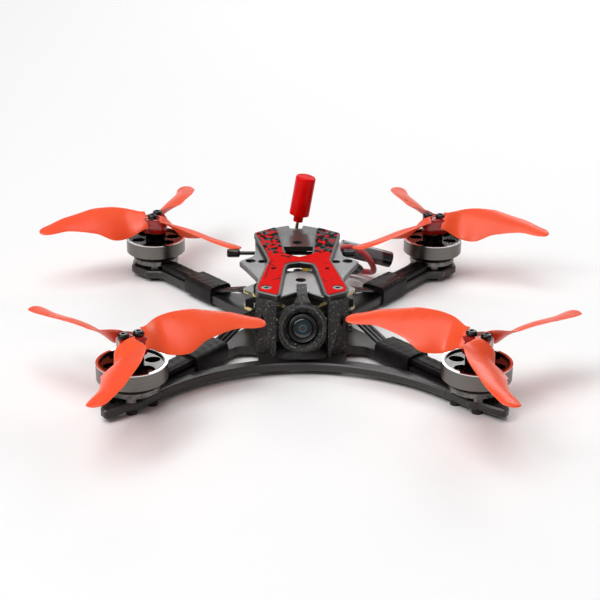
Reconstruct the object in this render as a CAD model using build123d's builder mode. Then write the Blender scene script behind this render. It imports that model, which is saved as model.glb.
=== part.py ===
from build123d import *
import os
from math import cos, radians, sin, tan

# A small X-frame racing quadcopter with 3.5 inch propellers.
# Millimetres, +Z up, nose towards -Y, standing on the heads of its motor screws.

# ---------------------------------------------------------------- driving dimensions
WHEEL_X = 53.8  # motor axis from the middle, sideways
WHEEL_Y = 56.6  # motor axis from the middle, fore and aft

SCREW_R = 0.95  # M2 thread
HEAD_R = 1.8  # M2 button head
HEAD_H = 1.5
PLATE_Z = HEAD_H  # the frame plate stands on the screw heads
PLATE_T = 3.0
PLATE_TOP = PLATE_Z + PLATE_T
EDGE_CHAMFER = 0.5

BAR_R = 59.2  # concave front edge of the front bar
BAR_Y = -36.0
BAR_W = 3.8
RAIL_W = 8.1  # width of an arm
RAIL_IN = (44.0, 50.0)  # inner edge of an arm, motor end
RAIL_OUT = (51.4, 46.3)  # outer edge of an arm, motor end
RAIL_BODY_IN = (22.8, 23.9)
RAIL_BODY_OUT = (29.1, 18.8)

DECK_T = 1.8
DECK_Z = 22.1
BRACE_T = 2.0
BRACE_Z = DECK_Z + DECK_T
BRACE_TOP = BRACE_Z + BRACE_T
STICKER_T = 0.15
FRONT_POST = (11.85, -22.6)
REAR_POST = (12.0, 31.1)
POST_R = 2.0

STACK_Y = 1.0  # middle of the electronics stack
STACK_HOLE = 14.14  # 20 x 20 pattern turned by 45 degrees
BOARD_HALF = 20.3  # half of the diagonal of a board
BOARD_T = 1.2
ESC_Z = 8.7
CONTROL_Z = 14.7

PIVOT_Y = -25.8  # camera tilt axis
PIVOT_Z = 12.8
TILT = 22.0  # camera axis above the horizon at rest
POD_HALF = 7.75
POD_BACK = -4.0
POD_FRONT = 10.5
CAMERA_HALF = 6.2
PILLAR_IN = 8.6
PILLAR_OUT = 15.4
CAMERA_SCREW_IN = 5.2

BELL_R = 11.2
RING_T = 0.8
RING_Z = 9.4
RIM_Z = 15.0
BELL_DISC_Z = 13.1
BELL_DISC_T = 1.3
HUB_Z = 17.5  # underside of the propeller hub
HUB_H = 5.8
SHAFT_R = 1.0
RUNNING = 0.05  # radial clearance of everything that turns
BEARING_R = 2.5
TUBE_R = 3.2
STATOR_R = 8.75
FOOT_PCD_R = 6.0
T_MOUNT = 5.0  # spacing of the two propeller screws

WIRE_R = 0.65
WIRE_PITCH = 1.7
LEAD_R = 1.15  # battery lead

# name, sideways sign, fore-and-aft sign, blade angle, turning sense seen from above
MOTORS = [
    ("front_right", -1, -1, 20.5, 1),
    ("front_left", 1, -1, 154.6, -1),
    ("rear_right", -1, 1, 77.7, -1),
    ("rear_left", 1, 1, -17.85, 1),
]

os.makedirs("parts", exist_ok=True)


def save(name, part):
    part.label = name
    export_step(part, f"parts/{name}.step")


def quarters(points):
    """The same point in all four quarters of the X frame."""
    return [(sx * x, sy * y) for x, y in points for sx in (-1, 1) for sy in (-1, 1)]


# ---------------------------------------------------------------- frame plate
# Half outline of one motor pad and its arm, as x, y distances from the middle.
PAD = [
    (44.7, 56.1),
    (50.2, 62.2),
    (50.8, 63.9),
    (54.0, 64.8),
    (57.8, 67.9),
    (61.2, 70.2),
    (62.7, 68.0),
    (63.1, 53.4),
    (62.0, 51.6),
    (58.0, 48.2),
    (57.0, 46.6),
    RAIL_OUT,
    RAIL_BODY_OUT,
]
PAD_RADII = [1.5, 1.0, 0.8, 3, 3, 0.9, 0.9, 2, 1.5, 1.2, 1.2, 3, 5]
FRONT_HALF = [(0, -50)] + [(x, -y) for x, y in PAD] + [(18.5, -6)]
REAR_HALF = [(18.5, 6)] + [(x, y) for x, y in reversed(PAD)]
REAR_HALF += [RAIL_IN, RAIL_BODY_IN, (15.9, 27.0), (15.6, 35.2), (12.5, 37.8), (0, 37.8)]
HALF_RADII = [0, 0] + PAD_RADII[1:] + [6, 6] + PAD_RADII[::-1] + [1.5, 5, 5, 1.5, 1.5, 0]
PAD_HOLE = [(60.4, 59.2), (60.2, 64.6), (58.9, 65.6), (56.4, 63.3)]
ARM_WINDOW = [(14.4, -34.4), (14.7, -22.5), (21.6, -22.5), (46.4, -52.8)]
SLOT_HALF = 8.6  # slot under the camera pod
SLOT_FRONT = -33.0
SLOT_REAR = -17.3

with BuildPart() as frame_plate:
    with BuildSketch(Plane.XY.offset(PLATE_Z)):
        with BuildLine():
            FilletPolyline(*FRONT_HALF, *REAR_HALF, radius=HALF_RADII, close=True)
        make_face()
        mirror(about=Plane.YZ)
        with Locations((0, BAR_Y - BAR_R)):
            Circle(BAR_R, mode=Mode.SUBTRACT)
    extrude(amount=PLATE_T)
    chamfer(frame_plate.edges().group_by(Axis.Z)[0], EDGE_CHAMFER)
    chamfer(frame_plate.edges().group_by(Axis.Z)[-1], EDGE_CHAMFER)
    with BuildSketch(Plane.XY.offset(PLATE_Z)) as cut:
        with BuildSketch(Plane.XY, mode=Mode.PRIVATE) as window:
            with BuildLine():
                FilletPolyline(*ARM_WINDOW, radius=[2.5, 2.5, 3.5, 0.5], close=True)
            make_face()
            with Locations((0, BAR_Y - BAR_R)):
                Circle(BAR_R + BAR_W, mode=Mode.SUBTRACT)
        add(window.sketch)
        mirror(window.sketch, about=Plane.YZ)
        with Locations((0, (SLOT_FRONT + SLOT_REAR) / 2)):
            RectangleRounded(2 * SLOT_HALF, SLOT_REAR - SLOT_FRONT, 4)
        with Locations(*quarters([(WHEEL_X, WHEEL_Y)])):
            Circle(2.6)
            with PolarLocations(FOOT_PCD_R, 4):
                Circle(SCREW_R)
        with Locations((FRONT_POST[0], FRONT_POST[1]), (-FRONT_POST[0], FRONT_POST[1])):
            Circle(SCREW_R)
        with Locations((REAR_POST[0], REAR_POST[1]), (-REAR_POST[0], REAR_POST[1])):
            Circle(SCREW_R)
        with Locations((0, STACK_Y)):
            with PolarLocations(STACK_HOLE, 4):
                Circle(SCREW_R)
        with Locations((0, 25.5)):
            SlotOverall(14, 5)
    extrude(amount=PLATE_T, mode=Mode.SUBTRACT)
    for sx in (-1, 1):
        for sy in (-1, 1):
            with BuildSketch(Plane.XY.offset(PLATE_Z)):
                with BuildLine():
                    hole = [(sx * x, sy * y) for x, y in PAD_HOLE]
                    FilletPolyline(*hole, radius=0.6, close=True)
                make_face()
            extrude(amount=PLATE_T, mode=Mode.SUBTRACT)
save("frame_plate", frame_plate.part)

# ---------------------------------------------------------------- top deck
WING_HOLE = (17.1, 7.25)
WING_HOLE_R = 1.8
DARK_HOLE = (13.0, 6.75)
DECK_HALF = [
    (0, -21.65),
    (1.9, -21.65),
    (6.5, -25.5),
    (10.3, -25.9),
    (14.9, -23.7),
    (14.8, -9.1),
    (18.7, 1.25),
    (21.2, 7.15),
    (15.9, 12.55),
    (15.3, 17.95),
    (15.5, 30.25),
    (8.05, 42.5),
    (2.45, 45.25),
    (2.45, 41.8),
    (0, 41.8),
]
DECK_RADII = [0, 0, 1, 2, 1, 6, 8, 1.3, 5, 6, 2.5, 4, 0.6, 1, 0]

with BuildPart() as top_deck:
    with BuildSketch(Plane.XY.offset(DECK_Z)):
        with BuildLine():
            FilletPolyline(*DECK_HALF, radius=DECK_RADII, close=True)
        make_face()
        mirror(about=Plane.YZ)
    extrude(amount=DECK_T)
    chamfer(top_deck.edges().group_by(Axis.Z)[-1], 0.3)
    with BuildSketch(Plane.XY.offset(DECK_Z)):
        for sx in (-1, 1):
            with Locations((sx * WING_HOLE[0], WING_HOLE[1])):
                Circle(WING_HOLE_R)
            with Locations((sx * DARK_HOLE[0], DARK_HOLE[1])):
                Circle(1.5)
            with Locations((sx * FRONT_POST[0], FRONT_POST[1]), (sx * REAR_POST[0], REAR_POST[1])):
                Circle(SCREW_R)
        with Locations((0, 26.1), (0, -10.85)):
            Circle(1.8)
        with Locations((0, 16.0)):
            RectangleRounded(14.7, 11.8, 2.0)
        with Locations((0, 1.25)):
            RectangleRounded(9.4, 7.5, 1.5)
    extrude(amount=DECK_T, mode=Mode.SUBTRACT)
save("top_deck", top_deck.part)

# ---------------------------------------------------------------- X brace and its sticker
BRACE_HALF = [
    (0, 1.05),
    (4.3, -0.4),
    (5.1, -4.7),
    (7.2, -27.6),
    (8.35, -30.0),
    (14.75, -25.9),
    (15.5, -22.4),
    (11.1, 3.3),
    (15.9, 31.2),
    (7.75, 37.9),
    (6.6, 33.5),
    (5.2, 16.5),
    (4.8, 9.5),
    (0, 6.55),
]
BRACE_RADII = [0, 2.5, 3, 1.5, 1.0, 1.0, 1.5, 5, 1.2, 1.0, 1.5, 5, 3, 0]
LIGHTENING_HOLE = (9.25, -5.3)


def brace_sketch(plane):
    with BuildSketch(plane) as outline:
        with BuildLine():
            FilletPolyline(*BRACE_HALF, radius=BRACE_RADII, close=True)
        make_face()
        mirror(about=Plane.YZ)
    return outline.sketch


with BuildPart() as x_brace:
    add(brace_sketch(Plane.XY.offset(BRACE_Z)))
    extrude(amount=BRACE_T)
    chamfer(x_brace.edges().group_by(Axis.Z)[-1], 0.35)
    for sx in (-1, 1):
        with Locations(Plane.XY.offset(BRACE_TOP)):
            with Locations((sx * FRONT_POST[0], FRONT_POST[1]), (sx * REAR_POST[0], REAR_POST[1])):
                CounterSinkHole(radius=SCREW_R, counter_sink_radius=1.75, counter_sink_angle=90)
            with Locations((sx * LIGHTENING_HOLE[0], LIGHTENING_HOLE[1])):
                Hole(radius=0.8)
save("x_brace", x_brace.part)

with BuildPart() as deck_sticker:
    with BuildSketch(Plane.XY.offset(BRACE_TOP)):
        add(offset(brace_sketch(Plane.XY.offset(BRACE_TOP)), amount=-0.75))
        for sx in (-1, 1):
            with Locations((sx * FRONT_POST[0], FRONT_POST[1]), (sx * REAR_POST[0], REAR_POST[1])):
                Circle(1.9, mode=Mode.SUBTRACT)
            with Locations((sx * LIGHTENING_HOLE[0], LIGHTENING_HOLE[1])):
                Circle(0.9, mode=Mode.SUBTRACT)
    extrude(amount=STICKER_T)
save("deck_sticker", deck_sticker.part)

# ---------------------------------------------------------------- posts, spacers and deck screws
POSTS = [(sx * x, y) for x, y in (FRONT_POST, REAR_POST) for sx in (-1, 1)]
CSK_R = 1.75
CSK_H = 0.8

with BuildPart() as standoffs:
    with BuildSketch(Plane.XY.offset(PLATE_TOP)):
        with Locations(*POSTS):
            Circle(POST_R)
            Circle(SCREW_R, mode=Mode.SUBTRACT)
    extrude(amount=DECK_Z - PLATE_TOP)
    for low, high in ((PLATE_TOP, ESC_Z), (ESC_Z + BOARD_T, CONTROL_Z)):
        with BuildSketch(Plane.XY.offset(low)):
            with Locations((0, STACK_Y)):
                with PolarLocations(STACK_HOLE, 4):
                    Circle(1.5)
                    Circle(SCREW_R, mode=Mode.SUBTRACT)
        extrude(amount=high - low)
save("standoffs", standoffs.part)

with BuildPart() as countersunk_screws:
    for x, y in POSTS:
        with Locations((x, y, BRACE_TOP - CSK_H)):
            Cone(SCREW_R, CSK_R, CSK_H, align=(Align.CENTER, Align.CENTER, Align.MIN))
        with BuildSketch(Plane.XY.offset(DECK_Z - 4.0)):
            with Locations((x, y)):
                Circle(SCREW_R)
        extrude(amount=BRACE_TOP - CSK_H - DECK_Z + 4.0)
    with BuildSketch(Plane.XY.offset(BRACE_TOP)):
        with Locations(*POSTS):
            RegularPolygon(0.75, 6)
    extrude(amount=-0.5, mode=Mode.SUBTRACT)
save("countersunk_screws", countersunk_screws.part)

# ---------------------------------------------------------------- electronics stack
CORNER_CUT = 15.9  # the boards' front and rear corners are cut off here


def board(z):
    with BuildPart() as blank:
        with BuildSketch(Plane.XY.offset(z)):
            with Locations((0, STACK_Y)):
                Rectangle(BOARD_HALF * 2**0.5, BOARD_HALF * 2**0.5, rotation=45)
                Rectangle(2 * BOARD_HALF - 1.6, 2 * CORNER_CUT, mode=Mode.INTERSECT)
                with PolarLocations(STACK_HOLE, 4):
                    Circle(SCREW_R, mode=Mode.SUBTRACT)
        extrude(amount=BOARD_T)
    return blank.part


save("esc_board", board(ESC_Z))
save("control_board", board(CONTROL_Z))

# chips: x, y, width and depth on each board
CHIPS = (
    (ESC_Z, [(7, 8, 5, 5), (-7, 8, 5, 5), (7, -6, 5, 5), (-7, -6, 5, 5), (0, 1, 6, 6)]),
    (CONTROL_Z, [(0, 1, 7, 7), (7.5, 6, 4, 3), (-7, 6, 3, 4), (6, -6, 5, 3)]),
)
CHIP_H = 1.1
CONNECTOR_H = 2.9
with BuildPart() as board_components:
    for z, chips in CHIPS:
        with BuildSketch(Plane.XY.offset(z + BOARD_T)):
            for x, y, w, d in chips:
                with Locations((x, y)):
                    Rectangle(w, d, rotation=45 if w == d else 0)
        extrude(amount=CHIP_H)
    with BuildSketch(Plane.XY.offset(ESC_Z + BOARD_T)):
        for sx in (-1, 1):
            with Locations((sx * 17.4, STACK_Y)):
                Rectangle(3.0, 4.4)
    extrude(amount=CONNECTOR_H)
save("board_components", board_components.part)

NUT_H = 1.4
with BuildPart() as stack_nuts:
    with BuildSketch(Plane.XY.offset(CONTROL_Z + BOARD_T)):
        with Locations((0, STACK_Y)):
            with PolarLocations(STACK_HOLE, 4):
                RegularPolygon(1.9, 6)
                Circle(SCREW_R, mode=Mode.SUBTRACT)
    extrude(amount=NUT_H)
save("stack_nuts", stack_nuts.part)

# ---------------------------------------------------------------- camera and its mount
c, s = cos(radians(TILT)), sin(radians(TILT))
tilt_plane = Plane(origin=(0, PIVOT_Y, PIVOT_Z), x_dir=(1, 0, 0), z_dir=(0, -c, s))
PILLAR_PROFILE = [
    (-31.0, PLATE_TOP),
    (-29.9, 9.0),
    (-29.0, 16.0),
    (-29.6, BRACE_Z),
    (-26.2, BRACE_Z),
    (-26.2, DECK_Z),
    (-19.0, DECK_Z),
    (-19.0, 10.0),
    (-20.5, PLATE_TOP),
]
SIDE_BORE_R = SCREW_R + RUNNING
ALMOND_X = 13.2

for side, sx in (("right", -1), ("left", 1)):
    with BuildPart() as side_mount:
        with BuildSketch(Plane.YZ.offset(sx * PILLAR_IN)):
            with BuildLine():
                FilletPolyline(*PILLAR_PROFILE, radius=[0, 3, 3, 0.8, 0, 0, 0.8, 6, 0], close=True)
            make_face()
        extrude(amount=sx * (PILLAR_OUT - PILLAR_IN))
        # the standoff's seat
        with BuildSketch(Plane.XY.offset(PLATE_TOP)):
            with Locations((sx * FRONT_POST[0], FRONT_POST[1])):
                Circle(POST_R)
        extrude(amount=DECK_Z - PLATE_TOP, mode=Mode.SUBTRACT)
        # the front follows the slope of the brace's front edge
        with BuildSketch(Plane.XY.offset(PLATE_TOP)):
            with BuildLine():
                slope = [(8.5, -31.7), (16, -26.0), (16, -33), (8.5, -33)]
                Polyline(*[(sx * x, y) for x, y in slope], close=True)
            make_face()
        extrude(amount=30, mode=Mode.SUBTRACT)
        # camera screw
        with BuildSketch(Plane.YZ.offset(sx * (PILLAR_IN - 1))):
            with Locations((PIVOT_Y, PIVOT_Z)):
                Circle(SCREW_R)
        extrude(amount=sx * 10, mode=Mode.SUBTRACT)
        # upright almond-shaped slot seen from the front
        with BuildSketch(Plane.XZ.offset(33)):
            with BuildLine():
                low = (sx * ALMOND_X, 14.2)
                high = (sx * ALMOND_X, 18.8)
                ThreePointArc(low, (sx * (ALMOND_X - 0.6), 16.5), high)
                ThreePointArc(high, (sx * (ALMOND_X + 0.6), 16.5), low)
            make_face()
        extrude(amount=-7.4, mode=Mode.SUBTRACT)
    save(f"side_mount_{side}", side_mount.part)

# The pod: a rounded box behind, a ring round the lens in front and a tongue over the deck.
TONGUE_HALF = 1.65
SHOULDER_LOW = 18.4
SHOULDER_TOP = 23.4
TONGUE = [
    (-30.9, 22.8),
    (-30.2, 24.0),
    (-26.5, 25.2),
    (-19.5, 25.3),
    (-16.7, 24.8),
    (-16.7, BRACE_Z + 0.15),
    (-22.0, BRACE_Z + 0.15),
    (-23.2, 19.2),
    (-27.0, 20.0),
]
with BuildPart() as camera_pod:
    with BuildSketch(tilt_plane.offset(POD_BACK)):
        RectangleRounded(2 * POD_HALF, 2 * POD_HALF, 5.6)
    extrude(amount=8.5)
    with BuildSketch(tilt_plane.offset(POD_BACK + 8.5)):
        RectangleRounded(2 * POD_HALF, 2 * POD_HALF, 5.6)
    with BuildSketch(tilt_plane.offset(POD_FRONT - 1.5)):
        RectangleRounded(2 * POD_HALF - 0.1, 2 * POD_HALF - 0.1, 6.2)
    loft()
    with BuildSketch(tilt_plane.offset(POD_FRONT - 1.5)):
        Circle(POD_HALF - 0.05)
    extrude(amount=1.5, taper=20)
    with BuildSketch(Plane.YZ.offset(-TONGUE_HALF)):
        with BuildLine():
            Polyline(*TONGUE, close=True)
        make_face()
    extrude(amount=2 * TONGUE_HALF)
    # shoulders that run from the ring up into the tongue, inside the deck's front notch
    with BuildSketch(Plane.XY.offset(SHOULDER_TOP)):
        with BuildLine():
            Polyline((-1.5, -23.4), (1.5, -23.4), (2.6, -29.4), (-2.6, -29.4), close=True)
        make_face()
    with BuildSketch(Plane.XY.offset(SHOULDER_LOW)):
        with BuildLine():
            Polyline((-4.6, -26.6), (4.6, -26.6), (5.4, -31.2), (-5.4, -31.2), close=True)
        make_face()
    loft()
    # camera chamber, lens bore and its flared mouth
    with BuildSketch(tilt_plane.offset(POD_BACK - 3)):
        RectangleRounded(2 * CAMERA_HALF, 2 * CAMERA_HALF, 2.6)
    extrude(amount=7.2 + 3, mode=Mode.SUBTRACT)
    with BuildSketch(tilt_plane.offset(0)):
        Circle(4.9)
    extrude(amount=POD_FRONT + 1, mode=Mode.SUBTRACT)
    with BuildSketch(tilt_plane.offset(POD_FRONT - 2.8)):
        Circle(4.9)
    with BuildSketch(tilt_plane.offset(POD_FRONT + 0.01)):
        Circle(6.6)
    loft(mode=Mode.SUBTRACT)
    with BuildSketch(Plane.YZ.offset(-POD_HALF - 1)):
        with Locations((PIVOT_Y, PIVOT_Z)):
            Circle(SIDE_BORE_R)
    extrude(amount=2 * POD_HALF + 2, mode=Mode.SUBTRACT)
save("camera_pod", camera_pod.part)

with BuildPart() as camera_body:
    with BuildSketch(tilt_plane.offset(POD_BACK)):
        RectangleRounded(2 * CAMERA_HALF, 2 * CAMERA_HALF, 2.6)
    extrude(amount=7.2)
    with BuildSketch(Plane.YZ.offset(-POD_HALF - 1)):
        with Locations((PIVOT_Y, PIVOT_Z)):
            Circle(SIDE_BORE_R)
    extrude(amount=2 * POD_HALF + 2, mode=Mode.SUBTRACT)
save("camera_body", camera_body.part)

with BuildPart() as camera_lens:
    with BuildSketch(tilt_plane.offset(POD_BACK + 7.2)):
        Circle(4.7)
    extrude(amount=4.6)
    with BuildSketch(tilt_plane.offset(POD_BACK + 11.8)):
        Circle(4.7)
        Circle(3.6, mode=Mode.SUBTRACT)
    extrude(amount=1.4)
save("camera_lens", camera_lens.part)

with BuildPart() as lens_glass:
    with BuildSketch(tilt_plane.offset(POD_BACK + 11.8)):
        Circle(3.5)
    extrude(amount=0.9)
    fillet(lens_glass.edges().filter_by(GeomType.CIRCLE).sort_by(Axis.Y)[0], 0.6)
save("lens_glass", lens_glass.part)

# ---------------------------------------------------------------- antennas
ANTENNA_Y = 43.6
ANTENNA_LEAN = 9.2
la, lb = sin(radians(ANTENNA_LEAN)), cos(radians(ANTENNA_LEAN))
antenna_plane = Plane(origin=(0, ANTENNA_Y, DECK_Z), x_dir=(lb, 0, -la), z_dir=(la, 0, lb))
STEM_R = 0.6

MOUNT_Z = 15.5
COLLAR = (4.1, 7.0)  # stretch along the stem
CAP = (6.9, 21.9)

with BuildPart() as antenna_mount:
    with BuildSketch(Plane.XY.offset(MOUNT_Z)):
        with Locations((0, ANTENNA_Y - 2.2)):
            RectangleRounded(8.0, 8.4, 1.2)
    extrude(amount=DECK_Z - MOUNT_Z)
    with BuildSketch(antenna_plane.offset(-5.2)):
        Circle(STEM_R)
    extrude(amount=6, mode=Mode.SUBTRACT)
save("antenna_mount", antenna_mount.part)

with BuildPart() as antenna_stem:
    with BuildSketch(antenna_plane.offset(-5.2)):
        Circle(STEM_R)
    extrude(amount=5.2 + CAP[0])
save("antenna_stem", antenna_stem.part)

with BuildPart() as antenna_cap:
    with BuildSketch(antenna_plane.offset(COLLAR[0])):
        Circle(1.85)
    extrude(amount=COLLAR[1] - COLLAR[0])
    with BuildSketch(antenna_plane.offset(CAP[0])):
        Circle(3.75)
    extrude(amount=CAP[1] - CAP[0])
    fillet(antenna_cap.edges().filter_by(GeomType.CIRCLE).sort_by(Axis.Z)[-1], 0.9)
    with BuildSketch(antenna_plane.offset(COLLAR[0])):
        Circle(STEM_R)
    extrude(amount=CAP[0] - COLLAR[0], mode=Mode.SUBTRACT)
save("antenna_cap", antenna_cap.part)

RECEIVER_Y = 35.0
RECEIVER_Z = 16.4
with BuildPart() as receiver_antenna:
    with BuildSketch(Plane.YZ.offset(-21.5)):
        with Locations((RECEIVER_Y, RECEIVER_Z)):
            Circle(0.7)
    extrude(amount=39.0)
    for x in (-25.9, 17.2):
        with BuildSketch(Plane.YZ.offset(x)):
            with Locations((RECEIVER_Y, RECEIVER_Z)):
                Circle(1.6)
        extrude(amount=4.9)
    fillet(receiver_antenna.edges().filter_by(lambda e: e.geom_type == GeomType.CIRCLE and e.radius > 1.5), 0.8)
save("receiver_antenna", receiver_antenna.part)

# ---------------------------------------------------------------- power: capacitor, leads, plug
CAP_START = Vector(17.2, 45.4, 14.9)
CAP_END = Vector(36.8, 47.8, 9.0)
CAP_R = 3.1
capacitor_plane = Plane(origin=CAP_START, z_dir=CAP_END - CAP_START)
with BuildPart() as capacitor:
    with BuildSketch(capacitor_plane):
        Circle(CAP_R)
    extrude(amount=(CAP_END - CAP_START).length)
    fillet(capacitor.edges().filter_by(GeomType.CIRCLE), 0.5)
save("capacitor", capacitor.part)

PLUG_Z = 2.6
PLUG_END = 12.8  # the leads reach this far into the plug
RED_ROUTE = [
    (3.4, 14.6, 11.1),
    (4.0, 20.5, 11.4),
    (6.0, 26.4, 11.8),
    (8.6, 33.0, 12.2),
    (11.8, 36.8, 14.4),
    (16.2, 37.8, 17.6),
    (21.4, 38.8, 17.6),
    (26.0, 40.2, 14.4),
    (29.0, 42.0, 9.8),
    (30.4, 45.4, 5.6),
    (30.0, 50.4, 2.8),
    (26.6, 54.6, 1.6),
    (21.8, 56.9, 1.8),
    (17.4, 57.4, PLUG_Z),
    (PLUG_END, 57.4, PLUG_Z),
]
BLACK_ROUTE = [
    (-3.4, 14.6, 11.1),
    (-2.6, 20.4, 11.0),
    (0.6, 27.0, 10.0),
    (5.2, 32.4, 9.4),
    (9.4, 36.4, 9.8),
    (13.6, 39.4, 11.0),
    (18.4, 40.8, 11.0),
    (22.9, 42.6, 8.8),
    (25.6, 46.2, 5.8),
    (25.0, 50.6, 3.2),
    (21.2, 53.2, 2.0),
    (16.4, 53.2, PLUG_Z),
    (PLUG_END, 53.2, PLUG_Z),
]


def route_radii(points):
    """The largest arcs that the runs allow, one for each corner."""
    radii = []
    for a, b, d in zip(points, points[1:], points[2:]):
        u = Vector(*b) - Vector(*a)
        w = Vector(*d) - Vector(*b)
        turn = radians(u.get_angle(w))
        radii.append(0.45 * min(u.length, w.length) / tan(turn / 2))
    return radii


for name, route in (("power_lead_red", RED_ROUTE), ("power_lead_black", BLACK_ROUTE)):
    radii = route_radii(route)
    with BuildPart() as lead:
        with BuildLine():
            FilletPolyline(*route, radius=radii)
        start = Vector(*route[1]) - Vector(*route[0])
        with BuildSketch(Plane(origin=route[0], z_dir=start)):
            Circle(LEAD_R)
        sweep()
    save(name, lead.part)

PLUG_X = 9.2
PLUG_L = 12.4
with BuildPart() as battery_plug:
    with Locations((PLUG_X, 55.3, PLUG_Z)):
        Box(PLUG_L, 8.6, 5.0)
    # the leads' sockets at one end and the mating mouth at the other
    with BuildSketch(Plane.YZ.offset(PLUG_X + PLUG_L / 2)):
        with Locations((53.2, PLUG_Z), (57.4, PLUG_Z)):
            Circle(LEAD_R)
    extrude(amount=PLUG_END - PLUG_X - PLUG_L / 2, mode=Mode.SUBTRACT)
    with BuildSketch(Plane.YZ.offset(PLUG_X - PLUG_L / 2)):
        with Locations((55.3, PLUG_Z)):
            Rectangle(6.4, 3.2)
    extrude(amount=6.0, mode=Mode.SUBTRACT)
save("battery_plug", battery_plug.part)

# ---------------------------------------------------------------- arm wiring
arm = Vector(RAIL_BODY_IN[0] - RAIL_IN[0], RAIL_BODY_IN[1] - RAIL_IN[1])
rail_a = Vector((RAIL_IN[0] + RAIL_OUT[0]) / 2, (RAIL_IN[1] + RAIL_OUT[1]) / 2)
SLEEVE_1 = (-1.4, 19.0)  # stretch along the arm, from its motor end
SLEEVE_2 = (15.6, 31.0)
WIRE_Z = PLATE_TOP + 1.4
WIRE_END_Z = ESC_Z + BOARD_T + WIRE_R
WIRE_ROUTE = [(-1.6, WIRE_Z), (31.5, WIRE_Z + 0.2), (44.0, WIRE_END_Z)]
WIRE_END = {-1: 55.3, 1: 53.5}  # the board is nearer the rear arms


def along_arm(sx, sy):
    """An upright plane down the middle of one arm: its x runs from the motor to the body."""
    x_dir = Vector(sx * arm.X, sy * arm.Y, 0)
    origin = Vector(sx * rail_a.X, sy * rail_a.Y, 0)
    return Plane(origin=origin, x_dir=x_dir, z_dir=x_dir.cross(Vector(0, 0, 1)))


with BuildPart() as motor_leads:
    for name, sx, sy, angle, sense in MOTORS:
        upright = along_arm(sx, sy)
        for k in (-1, 0, 1):
            plane = upright.offset(k * WIRE_PITCH)
            with BuildLine(plane):
                FilletPolyline(*WIRE_ROUTE, (WIRE_END[sy], WIRE_END_Z), radius=[8, 8])
            with BuildSketch(Plane(origin=plane.from_local_coords((*WIRE_ROUTE[0], 0)), z_dir=plane.x_dir)):
                Circle(WIRE_R)
            sweep()
save("motor_leads", motor_leads.part)

SLEEVE_1_HALF = 3.2
SLEEVE_1_H = 2.75
SLEEVE_WALL = 0.45
with BuildPart() as wire_sleeves:
    for name, sx, sy, angle, sense in MOTORS:
        upright = along_arm(sx, sy)
        mid_1 = PLATE_TOP + 0.02 + SLEEVE_1_H / 2
        low_2 = PLATE_Z - 0.7
        high_2 = PLATE_TOP + 3.5
        for (start, end), middle, width, height, wall, radius in (
            (SLEEVE_1, mid_1, 2 * SLEEVE_1_HALF, SLEEVE_1_H, SLEEVE_WALL, 1.2),
            (SLEEVE_2, (low_2 + high_2) / 2, RAIL_W + 1.9, high_2 - low_2, 0.65, 1.05),
        ):
            section = Plane(
                origin=upright.from_local_coords((start, middle, 0)),
                x_dir=upright.z_dir,
                z_dir=upright.x_dir,
            )
            with BuildSketch(section):
                RectangleRounded(width, height, radius)
                RectangleRounded(
                    width - 2 * wall, height - 2 * wall, radius - wall, mode=Mode.SUBTRACT
                )
            extrude(amount=end - start)
save("wire_sleeves", wire_sleeves.part)

# ---------------------------------------------------------------- motors
STATOR_Z = 9.0
STATOR_H = 2.6
TEETH = 12
MAGNETS = 14
BASE_Z = PLATE_TOP + 1.4
BASE_T = 2.0

# Every M2 button-head screw of the frame: motors, standoffs and stack from below, camera from
# the sides. The part stands on the heads below.
SOCKET_R = 0.7
SOCKET_H = 0.8
MIN_UP = (Align.CENTER, Align.CENTER, Align.MIN)
with BuildPart() as m2_screws:
    groups = [
        (quarters([(WHEEL_X, WHEEL_Y)]), FOOT_PCD_R, BASE_Z + 1.0),
        ([(0, STACK_Y)], STACK_HOLE, CONTROL_Z + BOARD_T + NUT_H),
    ]
    for middles, pattern_r, top in groups:
        for x, y in middles:
            with Locations((x, y, 0)):
                with PolarLocations(pattern_r, 4):
                    Cylinder(HEAD_R, HEAD_H, align=MIN_UP)
                    Cylinder(SCREW_R, top, align=MIN_UP)
                    Cylinder(SOCKET_R, SOCKET_H, align=MIN_UP, mode=Mode.SUBTRACT)
    with Locations(*POSTS):
        Cylinder(HEAD_R, HEAD_H, align=MIN_UP)
        Cylinder(SCREW_R, PLATE_TOP + 4.0, align=MIN_UP)
        Cylinder(SOCKET_R, SOCKET_H, align=MIN_UP, mode=Mode.SUBTRACT)
    for sx in (-1, 1):
        with BuildSketch(Plane.YZ.offset(sx * CAMERA_SCREW_IN)):
            with Locations((PIVOT_Y, PIVOT_Z)):
                Circle(SCREW_R)
        extrude(amount=sx * (PILLAR_OUT - CAMERA_SCREW_IN))
        with BuildSketch(Plane.YZ.offset(sx * PILLAR_OUT)):
            with Locations((PIVOT_Y, PIVOT_Z)):
                Circle(HEAD_R)
                Circle(SOCKET_R, mode=Mode.SUBTRACT)
        extrude(amount=sx * 1.2)
save("m2_screws", m2_screws.part)

BEARING_LEVELS = (5.0, 10.0)
BEARING_H = 2.0
with BuildPart() as motor_bearings:
    for z in BEARING_LEVELS:
        with BuildSketch(Plane.XY.offset(z)):
            with Locations(*quarters([(WHEEL_X, WHEEL_Y)])):
                Circle(BEARING_R)
                Circle(SHAFT_R + RUNNING, mode=Mode.SUBTRACT)
        extrude(amount=BEARING_H)
save("motor_bearings", motor_bearings.part)

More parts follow.
